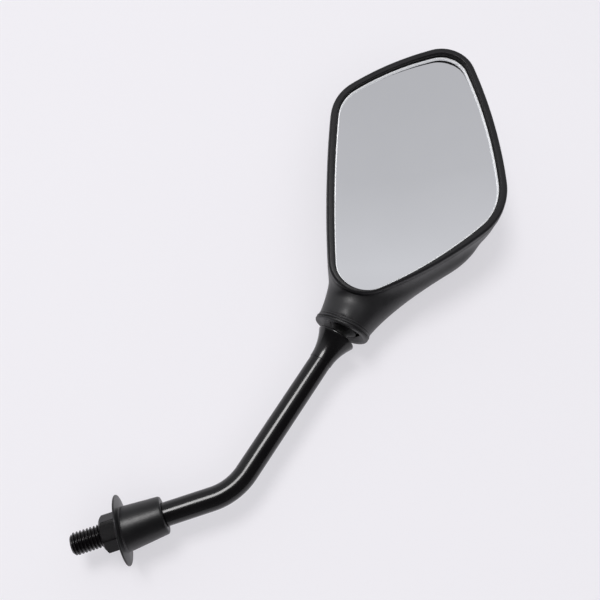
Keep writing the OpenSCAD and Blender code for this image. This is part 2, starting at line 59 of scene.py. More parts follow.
# Corners as x, z and radius; sides as radii
GLASS_CORNERS = [(-2.9, 22.6, 18.4), (12.8, 74.9, 33.4), (-8.1, 135.0, 16.8), (-27.1, 97.5, 25.5)]
RIM_CORNERS = [(-4.0, 22.0, 16.8)] + GLASS_CORNERS[1:]
SIDES = [212.0, 267.0, 157.0, 650.0]
GLASS_X0, GLASS_Z0, GLASS_R = -7.15, 78.8, 1000.0


def turn(axis, degrees, about=(0, 0, 0)):
    """Rotation about a point, as a 4x4 matrix."""
    p = Matrix.Translation(Vector(about))
    return p @ Matrix.Rotation(math.radians(degrees), 4, axis) @ p.inverted()


UPPER = Matrix.Translation((0, 0, CORNER_H)) @ Matrix.Rotation(math.radians(-BEND), 4, "Y")
BALL = UPPER @ Matrix.Translation((0, 0, BALL_AT))
HEAD = BALL @ Matrix.Rotation(math.radians(-NECK_LEAN), 4, "Y")


# Meshes

def mesh_object(name, verts, faces, place=Matrix.Identity(4)):
    """A mesh object from millimetre points in a local frame."""
    me = bpy.data.meshes.new(name)
    me.from_pydata([tuple((place @ Vector(v)) * MM) for v in verts], [], faces)
    me.validate()
    bm = bmesh.new()
    bm.from_mesh(me)
    bmesh.ops.remove_doubles(bm, verts=bm.verts, dist=1e-7)
    bmesh.ops.recalc_face_normals(bm, faces=bm.faces)
    bm.to_mesh(me)
    bm.free()
    for p in me.polygons:
        p.use_smooth = True
    o = bpy.data.objects.new(name, me)
    bpy.context.scene.collection.objects.link(o)
    return o


def skin(loops, closed=False, caps=True):
    """Vertices and faces through loops of equally many points."""
    n, m = len(loops[0]), len(loops)
    verts = [p for l in loops for p in l]
    faces = []
    for j in range(m if closed else m - 1):
        a, b = j * n, (j + 1) % m * n
        faces += [(a + i, a + (i + 1) % n, b + (i + 1) % n, b + i) for i in range(n)]
    if caps and not closed:
        faces += [tuple(range(n))[::-1], tuple(range((m - 1) * n, m * n))]
    return verts, faces


def circle(r, z, steps, way=1):
    """Points of a circle round the Z axis, clockwise seen from above where way is -1."""
    angles = [way * 2 * math.pi * i / steps for i in range(steps)]
    return [(r * math.cos(a), r * math.sin(a), z) for a in angles]


def lathe(profile, steps, closed=False):
    """Loops round the Z axis through (radius, height) points."""
    return skin([circle(r, z, steps) for r, z in profile], closed)


def rounded(points, radii, steps=6):
    """An open (r, z) profile whose inner corners are rounded."""
    out = [points[0]]
    for k in range(1, len(points) - 1):
        p, a, b = (Vector(points[k]), Vector(points[k - 1]), Vector(points[k + 1]))
        u, v = (a - p).normalized(), (b - p).normalized()
        half = u.angle(v) / 2
        r = radii[k - 1]
        cut = min(r / math.tan(half), (a - p).length * 0.49, (b - p).length * 0.49)
        r = cut * math.tan(half)
        c = p + (u + v).normalized() * (r / math.sin(half))
        s, e = p + u * cut - c, p + v * cut - c
        w = s.angle(e)
        for i in range(steps + 1):
            t = i / steps
            d = (s * math.sin((1 - t) * w) + e * math.sin(t * w)) / math.sin(w) if w > 1e-6 else s
            out.append(tuple(c + d))
    return out + [points[-1]]


def side_centre(a, b, r):
    """Centre of a side arc that touches two corner arcs from outside."""
    d = Vector((b[0] - a[0], b[1] - a[1]))
    e, p, q = d.normalized(), r - a[2], r - b[2]
    t = (p * p - q * q + d.length_squared) / (2 * d.length)
    h = math.sqrt(p * p - t * t)
    return (a[0] + e.x * t - e.y * h, a[1] + e.y * t + e.x * h)


def arc(c, r, a, w, n):
    return [(c[0] + r * math.cos(a + w * i / n), c[1] + r * math.sin(a + w * i / n)) for i in range(n)]


def outline(corners, margin, corner_steps=28, side_steps=30):
    """Points of an outline moved inwards, counter-clockwise seen from the glass side."""
    mids = [side_centre(corners[k], corners[(k + 1) % 4], SIDES[k]) for k in range(4)]
    angle = lambda p, q: math.atan2(q[1] - p[1], q[0] - p[0])
    out = []
    for k, c in enumerate(corners):
        before, after, nxt = mids[k - 1], mids[k], corners[(k + 1) % 4]
        a, b, e = angle(before, c), angle(after, c), angle(after, nxt)
        out += arc(c, c[2] - margin, a, (b - a) % (2 * math.pi), corner_steps)
        out += arc(after, SIDES[k] - margin, b, (e - b) % (2 * math.pi), side_steps)
    return out


def loop(corners, margin, y, lift=None):
    """An outline at a depth, or at a depth that depends on the place."""
    return [(x, y + (lift(x, z) if lift else 0), z) for x, z in outline(corners, margin)]


def sag(x, z):
    """How far the convex glass falls back at a point of its face."""
    return GLASS_R - math.sqrt(GLASS_R ** 2 - (x - GLASS_X0) ** 2 - (z - GLASS_Z0) ** 2)


def modify(o, kind, **settings):
    m = o.modifiers.new(kind.lower(), kind)
    for k, v in settings.items():
        setattr(m, k, v)


def apply(o):
    """Replaces the mesh by what its modifiers make of it."""
    dg = bpy.context.evaluated_depsgraph_get()
    me = bpy.data.meshes.new_from_object(o.evaluated_get(dg))
    o.modifiers.clear()
    o.data = me
    for p in me.polygons:
        p.use_smooth = True


def combine(o, operation, *tools):
    """Adds solids to a mesh or takes them away, and removes them."""
    for t in tools:
        modify(o, "BOOLEAN", operation=operation, solver="EXACT", object=t)
    apply(o)
    for t in tools:
        bpy.data.objects.remove(t)


def join(name, first, *others):
    """One object out of several."""
    bpy.ops.object.select_all(action="DESELECT")
    for o in (first, *others):
        o.select_set(True)
    bpy.context.view_layer.objects.active = first
    bpy.ops.object.join()
    first.name = name
    return first


def sharpen(o, degrees):
    """Marks edges past an angle as sharp, so that smooth shading stops there."""
    bm = bmesh.new()
    bm.from_mesh(o.data)
    for e in bm.edges:
        if len(e.link_faces) == 2 and e.calc_face_angle(0) > math.radians(degrees):
            e.smooth = False
    bm.to_mesh(o.data)
    bm.free()


# Materials

class Graph:
    """A short way to write a node tree."""

    def __init__(self, tree):
        self.tree = tree
        tree.nodes.clear()

    def add(self, kind, **values):
        n = self.tree.nodes.new(kind)
        for k, v in values.items():
            if k in n.inputs:
                n.inputs[k].default_value = v
            else:
                setattr(n, k, v)
        return n

    def link(self, a, out, b, inp):
        """Joins an output to an input, each given by its name or its number."""
        self.tree.links.new(a.outputs[out], b.inputs[inp])

    def ramp(self, source, out, lo_in, hi_in, lo_out, hi_out):
        r = self.add("ShaderNodeMapRange")
        for i, v in enumerate((lo_in, hi_in, lo_out, hi_out)):
            r.inputs[i + 1].default_value = v
        self.link(source, out, r, "Value")
        return r

    def along(self, coords, direction):
        """How far a direction of view points along another."""
        dot = self.add("ShaderNodeVectorMath", operation="DOT_PRODUCT")
        dot.inputs[1].default_value = direction
        self.link(coords, "Generated", dot, 0)
        return dot


class Nodes(Graph):
    """A material with one principled shader."""

    def __init__(self, name):
        self.mat = bpy.data.materials.new(name)
        self.mat.use_nodes = True
        super().__init__(self.mat.node_tree)
        self.out = self.add("ShaderNodeOutputMaterial")
        self.bsdf = self.add("ShaderNodeBsdfPrincipled")
        self.link(self.bsdf, "BSDF", self.out, "Surface")
        self.coords = self.add("ShaderNodeTexCoord")

    def noise(self, scale, detail=2.0, rough=0.5):
        """Noise in object space; the scale is in cells a metre."""
        n = self.add("ShaderNodeTexNoise", Scale=scale, Detail=detail, Roughness=rough)
        self.link(self.coords, "Object", n, "Vector")
        return n

    def bump(self, source, out, strength, distance):
        b = self.add("ShaderNodeBump", Strength=strength, Distance=distance)
        self.link(source, out, b, "Height")
        self.link(b, "Normal", self.bsdf, "Normal")

    def tint(self, source, out, dark, light, lo_in=0.3, hi_in=0.7):
        r = self.add("ShaderNodeValToRGB")
        r.color_ramp.elements[0].position, r.color_ramp.elements[0].color = lo_in, (*dark, 1)
        r.color_ramp.elements[1].position, r.color_ramp.elements[1].color = hi_in, (*light, 1)
        self.link(source, out, r, "Fac")
        self.link(r, "Color", self.bsdf, "Base Color")

    def set(self, **values):
        for k, v in values.items():
            self.bsdf.inputs[k.replace("_", " ")].default_value = v
        return self


def vary_gloss(m, source, rough, spread):
    """Roughness that follows a noise, between rough less and more than the spread."""
    r = m.ramp(source, "Fac", 0.3, 0.7, rough - spread, rough + spread)
    m.link(r, "Result", m.bsdf, "Roughness")


def grained(name, dark, light, rough, grain, depth, spread=0.06, **more):
    """A moulded or painted surface: slight colour and gloss variation and a fine grain."""
    m = Nodes(name)
    broad = m.noise(55, 3)
    fine = m.noise(grain, 2, 0.6)
    m.tint(broad, "Fac", dark, light)
    vary_gloss(m, broad, rough, spread)
    m.bump(fine, "Fac", 0.35, depth)
    return m.set(**more).mat


def metal(name, dark, light, rough, scale=900):
    m = Nodes(name)
    n = m.noise(scale, 3, 0.6)
    m.tint(n, "Fac", dark, light)
    vary_gloss(m, n, rough, 0.08)
    m.bump(n, "Fac", 0.12, 0.00002)
    return m.set(Metallic=1.0).mat


PAINT = grained("gloss_black_steel", (0.002, 0.0017, 0.0021), (0.004, 0.0035, 0.004), 0.18, 1400, 0.000004,
                spread=0.02, Specular_IOR_Level=0.45)
BELL = grained("gloss_black_bell", (0.0015, 0.0012, 0.0016), (0.003, 0.0025, 0.003), 0.2, 1400, 0.000005,
               spread=0.02)
NUT = grained("black_nut", (0.003, 0.0028, 0.0032), (0.008, 0.0075, 0.0082), 0.2, 2600, 0.00001,
              spread=0.03, Specular_IOR_Level=0.1)
THREAD = grained("black_thread", (0.002, 0.0019, 0.0021), (0.005, 0.0047, 0.0052), 0.42, 2600, 0.00002)
BOOT = grained("boot_rubber", (0.003, 0.0028, 0.0032), (0.006, 0.0056, 0.0062), 0.4, 2200, 0.00002)
SEAL = grained("seal_rubber", (0.003, 0.003, 0.003), (0.008, 0.008, 0.008), 0.6, 2400, 0.00003)
HOUSING = grained("housing_plastic", (0.009, 0.0088, 0.0095), (0.014, 0.0137, 0.0147), 0.44, 5200, 0.00003)
BEZEL = grained("bezel_plastic", (0.009, 0.0088, 0.0097), (0.013, 0.0127, 0.014), 0.42, 5200, 0.000025,
                Specular_IOR_Level=0.24)
CARRIER = grained("carrier_plastic", (0.04, 0.04, 0.043), (0.06, 0.06, 0.065), 0.5, 3000, 0.00003)
NYLON = grained("nylon", (0.72, 0.71, 0.63), (0.8, 0.79, 0.72), 0.4, 2500, 0.00002)
FOAM = grained("foam", (0.05, 0.05, 0.05), (0.1, 0.1, 0.1), 0.9, 2500, 0.0002)
STEEL = metal("bare_steel", (0.5, 0.51, 0.53), (0.66, 0.67, 0.69), 0.28)
SPRING = metal("spring_steel", (0.3, 0.31, 0.33), (0.45, 0.46, 0.48), 0.35)
ZINC = metal("zinc_screw", (0.58, 0.59, 0.6), (0.74, 0.75, 0.76), 0.3)


def silver():
    m = Nodes("mirror")
    n = m.noise(30, 2)
    m.tint(n, "Fac", (0.845, 0.845, 0.86), (0.865, 0.865, 0.88))
    return m.set(Metallic=1.0, Roughness=0.015).mat


def ground_edge_with_painted_glow():
    m = Nodes("ground_glass_edge_painted_glow")
    n = m.noise(2500, 2)
    m.tint(n, "Fac", (0.88, 0.89, 0.9), (0.97, 0.98, 0.99))
    m.bump(n, "Fac", 0.3, 0.00002)
    # Whitish ground glass, plus an emission that is a painted glow: it makes the edge line shine as if lit,
    # under any light
    return m.set(Roughness=0.35, Emission_Color=(0.95, 0.97, 1.0, 1.0), Emission_Strength=0.3).mat


SILVER, GROUND_GLOW = silver(), ground_edge_with_painted_glow()


def finish_piece(o, body, mats, nodes):
    """Materials, body and replaced nodes of a piece."""
    o.data.materials.clear()
    for m in mats:
        o.data.materials.append(m)
    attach(o, body)
    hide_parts(*nodes)


# Stem: bent bar with a rolled thread on its stud

RELIEF_R = 4.6
BAR_STEPS, FOOT_STEPS, BEND_STEPS, UPPER_STEPS = 96, 10, 32, 12


def stem_bar(edge=0.1, chamfer=0.5, overlap=0.6, bend_thinning=0.05):
    """The round bar: a chamfered step at the stud, a straight foot, the bend and the long upper stretch."""
    at = lambda z: Matrix.Translation((0, 0, z))
    placed = lambda r, place: [place @ Vector(p) for p in circle(r, 0, BAR_STEPS)]
    run = BEND_R * math.tan(math.radians(BEND / 2))
    start = CORNER_H - run
    foot = THREAD_TOP + chamfer
    step = [(RELIEF_R, THREAD_TOP - overlap), (STUD_R, THREAD_TOP)]
    step += [(ROD_R - edge, THREAD_TOP + edge), (ROD_R, foot)]
    loops = [placed(r, at(z)) for r, z in step]
    loops += [placed(ROD_R, at(foot + (start - foot) * k / FOOT_STEPS)) for k in range(1, FOOT_STEPS)]
    hinge = (-BEND_R, 0, start)
    for k in range(BEND_STEPS + 1):
        thin = bend_thinning * math.sin(math.pi * k / BEND_STEPS) ** 0.7 if 0 < k < BEND_STEPS else 0
        loops.append(placed(ROD_R - thin, turn("Y", -BEND * k / BEND_STEPS, hinge) @ at(start)))
    loops += [placed(ROD_R, UPPER @ at(run + (BELL_FOOT - run) * k / UPPER_STEPS))
              for k in range(1, UPPER_STEPS + 1)]
    return mesh_object("stem_bar", *skin(loops))


def stud_thread(pitch=1.5, depth=0.92, low=-STUD_LEN, high=THREAD_TOP - 0.4, chamfer=1.2, fade_over=1.2):
    """Helical V thread with flat crests and round roots, chamfered at its tip and run out at its top."""
    around, across = 72, 12
    flat = 0.12
    count = (int((high - low) / pitch) + 3) * across + 1
    verts = []
    for j in range(around + 1):
        a = 2 * math.pi * j / around
        for k in range(count):
            z = low - pitch + (k / across + j / around) * pitch
            from_crest = abs(2 * ((k / across) % 1.0) - 1)
            root = min(max((from_crest - flat) / (1 - 2 * flat), 0), 1)
            r = STUD_R - depth * (0.25 * (0.5 - 0.5 * math.cos(math.pi * root)) + 0.75 * root)
            r = min(r, STUD_R - chamfer + max(z - low, 0))
            fade = min(max((high - z) / fade_over, 0), 1)
            r = r * fade + RELIEF_R * (1 - fade)
            verts.append((r * math.cos(a), r * math.sin(a), min(max(z, low), high)))
    faces = [(j * count + k, (j + 1) * count + k, (j + 1) * count + k + 1, j * count + k + 1)
             for j in range(around) for k in range(count - 1)]
    tip_r, tuck = STUD_R - chamfer, 0.3
    tip_verts, tip_faces = lathe([(0.01, low), (tip_r, low), (tip_r - tuck, low + tuck)], around)
    n = len(verts)
    faces += [tuple(n + i for i in f) for f in tip_faces]
    return mesh_object("stud_thread", verts + tip_verts, faces)


def stem():
    bar = stem_bar()
    sharpen(bar, 40)
    bar = join("bent_stem", bar, stud_thread())
    thread_end = (THREAD_TOP - 0.3) * MM
    for p in bar.data.polygons:
        top = max(bar.data.vertices[i].co.z for i in p.vertices)
        p.material_index = 1 if top < thread_end else 0
    finish_piece(bar, "stem", [PAINT, THREAD], ["stem_rod"])


# Lock nut: both ends chamfered, with a narrow washer face below

NUT_AF, NUT_H, NUT_BORE = 14.5, 8.0, 5.05


def hexagon(across, rounding):
    """(radius, angle) points of a hexagon with rounded corners and six steps along each side."""
    centre_r = (across / 2 - rounding) / math.cos(math.pi / 6)

    def on_corner(k, b):
        a = math.pi / 3 * k
        x, y = centre_r * math.cos(a), centre_r * math.sin(a)
        return (x + rounding * math.cos(b), y + rounding * math.sin(b))

    points = []
    for k in range(6):
        a = math.pi / 3 * k
        points += [on_corner(k, a + math.pi / 6 * i / 3) for i in range(-3, 4)]
        p, q = on_corner(k, a + math.pi / 6), on_corner(k + 1, a + math.pi / 6)
        points += [(p[0] + (q[0] - p[0]) * i / 6, p[1] + (q[1] - p[1]) * i / 6) for i in range(1, 6)]
    return [(math.hypot(x, y), math.atan2(y, x)) for x, y in points]


def nut(face_inset=0.35, washer=0.2, lead=0.6, lead_depth=0.7, chamfer_angle=30):
    face_r = NUT_AF / 2 - face_inset
    slope = math.tan(math.radians(chamfer_angle))
    polar = hexagon(NUT_AF, 0.5)
    level = lambda r, z: [(r * math.cos(a), r * math.sin(a), z) for _, a in polar]
    drop = lambda r: max(r - face_r, 0) * slope

    def chamfer_rows(shares, height):
        """Rows from the round face edge, share 0, to the hexagon's outline, share 1."""
        rows = []
        for s in shares:
            radii = [(face_r + (r - face_r) * s, a) for r, a in polar]
            rows.append([(r * math.cos(a), r * math.sin(a), height(r)) for r, a in radii])
        return rows

    rows = [level(NUT_BORE, lead_depth), level(NUT_BORE + lead, 0)]
    rows += [level(face_r - washer, 0), level(face_r, washer)]
    rows += chamfer_rows((0.25, 0.5, 0.75, 1.0), lambda r: washer + drop(r))
    rows += chamfer_rows((1.0, 0.75, 0.5, 0.25, 0.0), lambda r: NUT_H - drop(r))
    rows += [level(NUT_BORE + lead, NUT_H), level(NUT_BORE, NUT_H - lead_depth)]
    o = mesh_object("hex_nut", *skin(rows, closed=True))
    sharpen(o, 24)
    finish_piece(o, "nut", [NUT], ["lock_nut"])


# Rubber boot: soft flange and tapered sleeve, sagging a little at the flange end

BOOT_Z, BOOT_H, FLANGE_R = 8.3, 19.3, 15.5
FLANGE_TILT, BOOT_SAG = 4.6, -1.9


def boot(low_r=9.8, top_r=8.35, bar_r=5.42, recess_r=9.2, recess_h=6.0, steps=160):
    sleeve = rounded([(recess_r, 0.4), (low_r, 0.9), (low_r - 0.05, 3.0), (top_r, BOOT_H), (bar_r, BOOT_H),
                      (bar_r + 0.08, BOOT_H - 4)], [0.2, 2.0, 1.1, 0.5])
    sleeve += [(5.9, recess_h + 0.2), (recess_r, recess_h)]
    body = mesh_object("boot_sleeve", *lathe(sleeve, steps, closed=True))
    inner, lip = recess_r + 0.05, FLANGE_R - 0.3
    rim = rounded([(inner, -0.15), (lip, -0.15), (FLANGE_R, 0.25), (lip, 0.65), (10.3, 0.95), (9.75, 1.7),
                   (inner, 1.9)], [0.3, 0.35, 0.3, 0.6, 0.3])
    flange = mesh_object("boot_flange", *lathe(rim, steps, closed=True), place=turn("Y", FLANGE_TILT))
    for o in (body, flange):
        sharpen(o, 50)
    o = join("rubber_boot", body, flange)
    o.data.transform(Matrix.Translation((0, 0, BOOT_Z * MM)) @ turn("Y", BOOT_SAG, (0, 0, BOOT_H * MM)))
    finish_piece(o, "boot", [BOOT], ["stem_boot"])


# Bell at the end of the bar, its flare a parabola from the foot to the rim

BELL_TOP, BELL_RIM, BELL_R0, BELL_BORE = -13.0, 9.3, 5.55, 3.1


def bell(flare_steps=14, lip=1.1, cup=2.6, foot_bore=5.0):
    foot, top, rim = BELL_FOOT - BALL_AT, BELL_TOP, BELL_RIM
    shares = [k / flare_steps for k in range(flare_steps + 1)]
    flare = [(BELL_R0 + (rim - BELL_R0) * t ** 2, foot + 0.25 + (top - foot - lip) * t) for t in shares]
    start = [(foot_bore, foot), (BELL_R0 - 0.1, foot), (BELL_R0, foot + 0.12)]
    edge = [(rim, top - 0.5), (rim - 0.15, top - 0.15), (rim - 0.5, top), (rim - 1.0, top - 0.25)]
    inside = [(ROD_R, top - cup + 0.05), (BELL_BORE, top - cup)]
    inside += [(BELL_BORE, foot + 4), (foot_bore, foot + 0.5)]
    o = mesh_object("flared_bell", *lathe(start + flare + edge + inside, 160, closed=True), place=BALL)
    sharpen(o, 50)
    finish_piece(o, "stem", [BELL], ["swivel_bell"])


# Housing: dome and neck melted into one skin, then cut for the bezel and the mouth

SPREAD_TOP, SPREAD_RIGHT, SPREAD_LEFT = 40.0, 21.5, 15.0
NECK_R, MOUTH_SHIFT = 12.8, 1.3
NECK_START, NECK_STEPS, NECK_ROWS = 1.8, 24, 39
HOLE_R, SLOT_R, WEB_R, SOCKET_R = 7.5, 10.59, 9.39, 7.09
DOME_STEPS, DOME_POWER, DOME_ANGLE = 24, 3.6, 88
VOXEL = 0.75
AROUND = 96
# Lip of the mouth: how far its front hangs lower, its funnel by radius past the hole and by height, and its
# bead by how far it lies inside the neck's outline and by height over the mouth
LIP_DROP = 0.9
FUNNEL = [(0.0, -7.3), (0.1, -7.6), (0.35, -7.8), (2.7, -8.85), (3.1, -MOUTH_DROP)]
BEAD = [(0.4, 0.0), (0.0, 0.0), (-0.35, 0.1), (-0.6, 0.3), (-0.7, 0.6), (-0.68, 0.85), (-0.45, 1.05),
        (-0.2, 1.2), (-0.2, 1.3), (-0.45, 1.45), (-0.65, 1.7), (-0.65, 2.0), (-0.45, 2.4), (-0.15, 2.65),
        (0.12, 2.8), (0.12, 2.9), (-0.08, 3.1), (-0.12, 3.4), (0.0, 3.7), (0.4, 3.8), (2.2, 3.8)]
# Round swelling on the neck's front: place, height, width, and the depth where the front begins
SWELLING, SWELL_H, SWELL_W, SWELL_Y = (-2.1, -3.3), 0.6, 3.2, -6.0
# Smoothing: full between two heights, fading over the heights given, and a little elsewhere
SMOOTH_TOP, SMOOTH_FADE, SMOOTH_LOW, SMOOTH_RISE, SMOOTH_REST = 75, 18, -8, 4, 0.12
# Rounds that fill hollows and rounds that soften all; where the skin isn't hollow, a fill moves it by a share
FILL_ROUNDS, SOFTEN_ROUNDS, NORMALS_EVERY, RAISED_SHARE = 80, 4, 16, 0.2


def spread(z, extra, power, rate, drop=1.6):
    """How much wider than its mouth the neck is at a height."""
    u = (z + MOUTH_DROP) / (SPREAD_TOP + MOUTH_DROP)
    past = max(u - 1, 0)
    return extra * (min(max(u, 0), 1) ** power + rate * past - drop * past * past)


def neck_loop(z, margin=0.0, shrink=1.0):
    """Outline of the neck at a height: round at the mouth, squarer and wider towards the dome."""
    u = min((z + MOUTH_DROP) / (SPREAD_TOP + MOUTH_DROP), 1)
    aside = MOUTH_SHIFT * (1 - u) ** 2
    right = (NECK_R - aside + spread(z, SPREAD_RIGHT, 1.45, 1.6)) * shrink - margin
    left = (NECK_R + aside + spread(z, SPREAD_LEFT, 1.7, 1.3)) * shrink - margin
    rear = (NECK_R + (BACK_Y - 2 - NECK_R) * u) * shrink - margin
    front = NECK_R * shrink - margin
    power = 2 / (2 + 0.5 * u)
    out = []
    for i in range(AROUND):
        a = -2 * math.pi * i / AROUND
        x = math.copysign(abs(math.cos(a)) ** power, math.cos(a))
        y = math.copysign(abs(math.sin(a)) ** power, math.sin(a))
        out.append((x * (right if x > 0 else left), y * (rear if y > 0 else front), z))
    return out


def dome_loops(margin, y0):
    """Outlines that shrink towards the middle of the back along a superellipse."""
    depth = BACK_Y - margin + 0.15 - y0
    loops = []
    for k in range(DOME_STEPS + 1):
        a = math.radians(DOME_ANGLE) * k / DOME_STEPS
        f = 1 - math.cos(a) ** (2 / DOME_POWER)
        y = y0 + depth * math.sin(a) ** (2 / DOME_POWER)
        loops.append([(x + (GLASS_X0 - x) * f, y, z + (GLASS_Z0 - z) * f)
                      for x, z in outline(RIM_CORNERS, margin)])
    return loops


def relax(o, rounds, weight, fills=False):
    """Smooths vertices by as much as weight gives at their place; fills works mostly on hollow places."""
    me = o.data
    n = len(me.vertices)
    co = np.empty(n * 3)
    me.vertices.foreach_get("co", co)
    co = co.reshape(-1, 3)
    e = np.empty(len(me.edges) * 2, dtype=np.int64)
    me.edges.foreach_get("vertices", e)
    e = e.reshape(-1, 2)
    inv = np.array(HEAD.inverted())
    w = weight((co / MM) @ inv[:3, :3].T + inv[:3, 3])[:, None]
    count = np.bincount(e.ravel(), minlength=n)[:, None]
    normals = np.zeros((n, 3))
    for step in range(rounds):
        total = np.zeros_like(co)
        np.add.at(total, e[:, 0], co[e[:, 1]])
        np.add.at(total, e[:, 1], co[e[:, 0]])
        move = 0.5 * (total / count - co)
        if fills and step % NORMALS_EVERY == 0:
            flat = np.empty(n * 3)
            me.vertices.foreach_set("co", co.ravel())
            me.update()
            me.vertices.foreach_get("normal", flat)
            normals = flat.reshape(-1, 3)
        if fills:
            outward = (move * normals).sum(1)[:, None] > 0
            move = np.where(outward, move, RAISED_SHARE * move)
        co = co + w * move
    me.vertices.foreach_set("co", co.ravel())
    me.update()


def swell(o):
    """Raises a low round swelling on the neck's front."""
    inv = HEAD.inverted()
    lift = HEAD.to_3x3() @ Vector((0, -1, 0))
    x, z = SWELLING
    for v in o.data.vertices:
        p = inv @ (v.co / MM)
        far = (p.x - x) ** 2 + (p.z - z) ** 2
        if p.y < SWELL_Y and far < 16 * SWELL_W ** 2:
            v.co += lift * (SWELL_H * math.exp(-far / (2 * SWELL_W ** 2)) * MM)


def ball_arc(r, a, b, n):
    """Points of a circle round the ball's centre, by the angle from straight down."""
    angles = [math.radians(a + (b - a) * k / n) for k in range(n + 1)]
    return [(r * math.sin(t), -r * math.cos(t)) for t in angles]


def collar():
    """Ring round the mouth: a funnel, a flat end and a bead that meets the neck in a crease."""
    rows = [circle(HOLE_R + out, z, AROUND, -1) for out, z in FUNNEL]
    rows += [neck_loop(up - MOUTH_DROP, margin) for margin, up in BEAD]
    rows = [[(x, y, z + LIP_DROP * min(y, 0) / NECK_R) for x, y, z in row] for row in rows]
    rows += [circle(HOLE_R + 1.6, -6.6, AROUND, -1)]
    return mesh_object("mouth_collar", *skin(rows, closed=True), place=HEAD)


def near_neck(p):
    """Weight of the smoothing: full on the neck, little on the rest of the dome."""
    z = p[:, 2]
    below_top = np.clip((SMOOTH_TOP - z) / SMOOTH_FADE, 0, 1)
    above_low = np.clip((z - SMOOTH_LOW) / SMOOTH_RISE, 0, 1)
    return np.clip(SMOOTH_REST + below_top * above_low, 0, 1)


def melted_skin():
    """Dome, neck and front wall as one closed surface with a soft join."""
    dome = mesh_object("dome", *skin(dome_loops(0.1, RIM_Y - 0.6)), place=HEAD)
    tall = SPREAD_TOP + MOUTH_DROP
    heights = [-MOUTH_DROP + NECK_START + k * tall / NECK_STEPS for k in range(NECK_ROWS)]
    loops = [neck_loop(z) for z in heights] + [neck_loop(heights[-1] + 2, 0, 0.8)]
    neck = mesh_object("neck", *skin(loops), place=HEAD)
    loops = [loop(RIM_CORNERS, -0.25, y) for y in (FRONT_Y + 2.2, -14, -12, RIM_Y + 0.6)]
    front = mesh_object("front", *skin(loops), place=HEAD)
    combine(dome, "UNION", neck, front)
    modify(dome, "REMESH", mode="VOXEL", voxel_size=VOXEL * MM, use_smooth_shade=True)
    apply(dome)
    relax(dome, FILL_ROUNDS, near_neck, fills=True)
    relax(dome, SOFTEN_ROUNDS, lambda p: np.ones(len(p)))
    swell(dome)
    return dome


def housing():
    dome = melted_skin()
    loops = [loop(RIM_CORNERS, -0.04, y) for y in (FRONT_Y - 3, RIM_Y)]
    seat = mesh_object("seat", *skin(loops), place=HEAD)
    # The hole, the slot for the seal, the web above it and the ball's socket, by angles from straight down
    bore, below = HOLE_R + 0.5, -10.5
    socket = [(0.0, below), (bore, below), (bore, -7.6)] + ball_arc(SLOT_R, 47, 69, 8)
    socket += ball_arc(WEB_R, 66, 45, 8) + ball_arc(SOCKET_R, 45, 180, 24)
    mouth = mesh_object("mouth", *lathe(socket, AROUND), place=HEAD)
    combine(dome, "DIFFERENCE", seat, mouth)
    dome = join("mirror_housing", dome, collar())
    sharpen(dome, 40)
    finish_piece(dome, "head", [HOUSING], ["housing_shell"])


# Rubber seal: a thin ribbed dome in the neck's slot, on a hub round the ball's neck

SEAL_IN, SEAL_OUT, SEAL_EDGE = 9.56, 10.42, 43.5
HUB_IN, HUB_OUT, HUB_LOW = 3.06, 3.85, -14.3


def seal(rib_depth=0.1, rib_pitch=3, ribs_from=25, ribs_to=40, steps=60):
    point = lambda r, a: ball_arc(r, a, a, 1)[0]
    dome = []
    for k in range(1, steps + 1):
        a = ribs_from + (SEAL_EDGE - 0.5 - ribs_from) * k / steps
        wave = 0.5 - 0.5 * math.cos(2 * math.pi * (a - ribs_from) / rib_pitch)
        dome.append(point(SEAL_OUT - (rib_depth * wave if a < ribs_to else 0), a))
    hub = rounded([(HUB_IN, HUB_LOW), (HUB_OUT, HUB_LOW), (HUB_OUT, -10.6), dome[0]], [0.2, 0.6])[:-1]
    lip = [point(0.5 * (SEAL_IN + SEAL_OUT), SEAL_EDGE + 0.4)]
    profile = hub + dome + lip + ball_arc(SEAL_IN, SEAL_EDGE, 19, 16)
    o = mesh_object("ribbed_seal", *lathe(profile, 128, closed=True), place=BALL)
    sharpen(o, 50)
    finish_piece(o, "seal", [SEAL], ["dust_seal"])


# Bezel, gasket and glass

BEZEL_W = 3.4
GASKET_DEPTH, GASKET_IN = 0.5, 3.9
PANE_INSET, PANE_DEPTH, PANE_T, PANE_STEPS = 3.95, 0.5, 2.2, 30
CHAMFER_W, CHAMFER_H, WALL_INSET, SILVER_DEPTH = 0.4, 0.3, 0.52, 1.0


def front_edge(corners, inset, side, r, angles):
    """Rows of a rounded front edge, outwards from an inset (side -1) or inwards (side 1)."""
    return [loop(corners, inset + side * r * (1 - math.sin(a)), FRONT_Y + r * (1 - math.cos(a)))
            for a in map(math.radians, angles)]


def bezel(outer_r=1.3, inner_r=0.55, groove_in=2.45, groove_out=3.35, groove_depth=2.2):
    rows = front_edge(RIM_CORNERS, 0, 1, outer_r, range(0, 91, 10))
    rows += [loop(RIM_CORNERS, 0, y) for y in (FRONT_Y + 2.5, RIM_Y - 0.25)]
    behind = RIM_Y - 0.03
    step = [(0.2, behind), (groove_in, behind), (groove_in, RIM_Y + groove_depth),
            (groove_out, RIM_Y + groove_depth), (groove_out, RIM_Y - 0.7)]
    rows += [loop(RIM_CORNERS, inset, y) for inset, y in step]
    rows += [loop(GLASS_CORNERS, BEZEL_W, RIM_Y - 0.7)]
    rows += front_edge(GLASS_CORNERS, BEZEL_W, -1, inner_r, range(90, -1, -15))
    o = mesh_object("front_bezel", *skin(rows, closed=True), place=HEAD)
    sharpen(o, 50)
    finish_piece(o, "head", [BEZEL], ["bezel_frame"])


